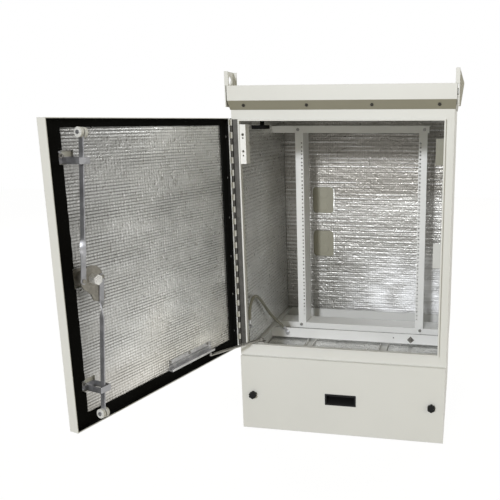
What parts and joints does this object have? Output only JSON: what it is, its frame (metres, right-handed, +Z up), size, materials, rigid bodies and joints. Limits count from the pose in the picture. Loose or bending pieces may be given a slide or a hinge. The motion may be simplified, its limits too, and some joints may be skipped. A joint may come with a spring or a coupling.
{
  "type": "roadside utility cabinet",
  "caption": "Free-standing sheet-steel equipment cabinet with a sloped hood, insulated hinged door with rod lock, rack rails inside and a plinth with a removable cover.",
  "frame": {"origin": "centre of the rectangle of anchor holes at ground level, under the middle of the body", "axes": "+Z up, the door opening faces -Y, +X to the right as seen from the front"},
  "size_m": [0.9696, 1.3039, 1.248],
  "materials": {
    "powder_coat": "satin",
    "foil_foam": "satin",
    "seal_foam": "matte",
    "galvanised": "satin",
    "fasteners": "satin",
    "zinc_casting": "satin",
    "earth_brass": "satin",
    "cable_sheath": "matte",
    "black_plastic": "matte",
    "nylon": "satin"
  },
  "bodies": {
    "cabinet": {"door_frame": "powder_coat", "left_side": "powder_coat", "right_side": "powder_coat", "rear_panel": "powder_coat", "ceiling_panel": "powder_coat", "floor_plate": "powder_coat", "roof_hood": "powder_coat", "roof_battens": "galvanised", "hood_screws": "fasteners", "left_ear": "powder_coat", "right_ear": "powder_coat", "plinth_box": "powder_coat", "left_pad": "foil_foam", "right_pad": "foil_foam", "rear_pad": "foil_foam", "ceiling_pad": "foil_foam", "floor_pads": "foil_foam", "left_rail": "powder_coat", "right_rail": "powder_coat", "top_bar": "powder_coat", "bottom_bar": "powder_coat", "front_bar": "powder_coat", "rack_screws": "fasteners", "floor_channels": "powder_coat", "left_bracket": "powder_coat", "right_brackets": "powder_coat", "ceiling_block": "black_plastic", "earth_stud": "earth_brass", "earth_lugs": "galvanised", "earth_cable": "cable_sheath", "roller_keepers": "galvanised", "stay_bracket": "galvanised", "hinge_frame_leaf": "galvanised", "hinge_pin": "galvanised"},
    "door": {"door_pan": "powder_coat", "door_seal": "seal_foam", "door_pad": "foil_foam", "hinge_door_leaf": "galvanised", "hinge_rivets": "fasteners", "rod_guides": "galvanised", "guide_bolts": "fasteners", "stay_track": "galvanised", "track_screws": "fasteners", "lock_case": "zinc_casting"},
    "lock": {"lock_cam": "zinc_casting", "lock_handle": "zinc_casting"},
    "upper_rod": {"upper_rod": "galvanised"},
    "lower_rod": {"lower_rod": "galvanised"},
    "upper_rollers": {"upper_rollers": "nylon"},
    "lower_rollers": {"lower_rollers": "nylon"},
    "stay_arm": {"stay_arm": "galvanised"},
    "plinth_cover": {"plinth_cover": "powder_coat", "pull_handle": "black_plastic"},
    "left_knob": {"left_knob": "black_plastic"},
    "right_knob": {"right_knob": "black_plastic"}
  },
  "joints": [
    {"name": "door_swing", "type": "hinge", "parent": "cabinet", "child": "door", "pos_m": [-0.363, -0.3033, 0.7075], "axis": [0, 0, 1], "range_deg": [0, 105.5]},
    {"name": "lock_turn", "type": "hinge", "parent": "door", "child": "lock", "pos_m": [-0.50965, -0.92678, 0.7075], "axis": [-0.9636, 0.2672, 0], "range_deg": [0, 90]},
    {"name": "upper_rod_swing", "type": "hinge", "parent": "lock", "child": "upper_rod", "pos_m": [-0.51328, -0.95483, 0.7075], "axis": [-0.9636, 0.2672, 0], "range_deg": [-95.6, 0]},
    {"name": "lower_rod_swing", "type": "hinge", "parent": "lock", "child": "lower_rod", "pos_m": [-0.49832, -0.90087, 0.7075], "axis": [-0.9636, 0.2672, 0], "range_deg": [-95.6, 0]},
    {"name": "upper_roller_spin", "type": "hinge", "parent": "upper_rod", "child": "upper_rollers", "pos_m": [-0.5041, -0.92172, 1.06586], "axis": [-0.266, -0.9592, 0.0955], "continuous": true},
    {"name": "lower_roller_spin", "type": "hinge", "parent": "lower_rod", "child": "lower_rollers", "pos_m": [-0.5075, -0.93398, 0.34914], "axis": [-0.266, -0.9592, 0.0955], "continuous": true},
    {"name": "stay_swing", "type": "hinge", "parent": "cabinet", "child": "stay_arm", "pos_m": [-0.29, -0.285, 0.3345], "axis": [0, 0, 1], "range_deg": [0, 118.7]},
    {"name": "cover_pull", "type": "slide", "parent": "cabinet", "child": "plinth_cover", "axis": [0, -1, 0], "range_m": [0, 0.2]},
    {"name": "left_knob_turn", "type": "hinge", "parent": "plinth_cover", "child": "left_knob", "pos_m": [-0.317, -0.315, 0.135], "axis": [0, -1, 0], "continuous": true},
    {"name": "right_knob_turn", "type": "hinge", "parent": "plinth_cover", "child": "right_knob", "pos_m": [0.317, -0.315, 0.135], "axis": [0, -1, 0], "continuous": true}
  ],
  "couplings": [
    {"joint": "upper_rod_swing", "follows": "lock_turn", "ratio": -1.0609},
    {"joint": "lower_rod_swing", "follows": "lock_turn", "ratio": -1.0609},
    {"joint": "stay_swing", "follows": "door_swing", "ratio": 1.1244}
  ]
}
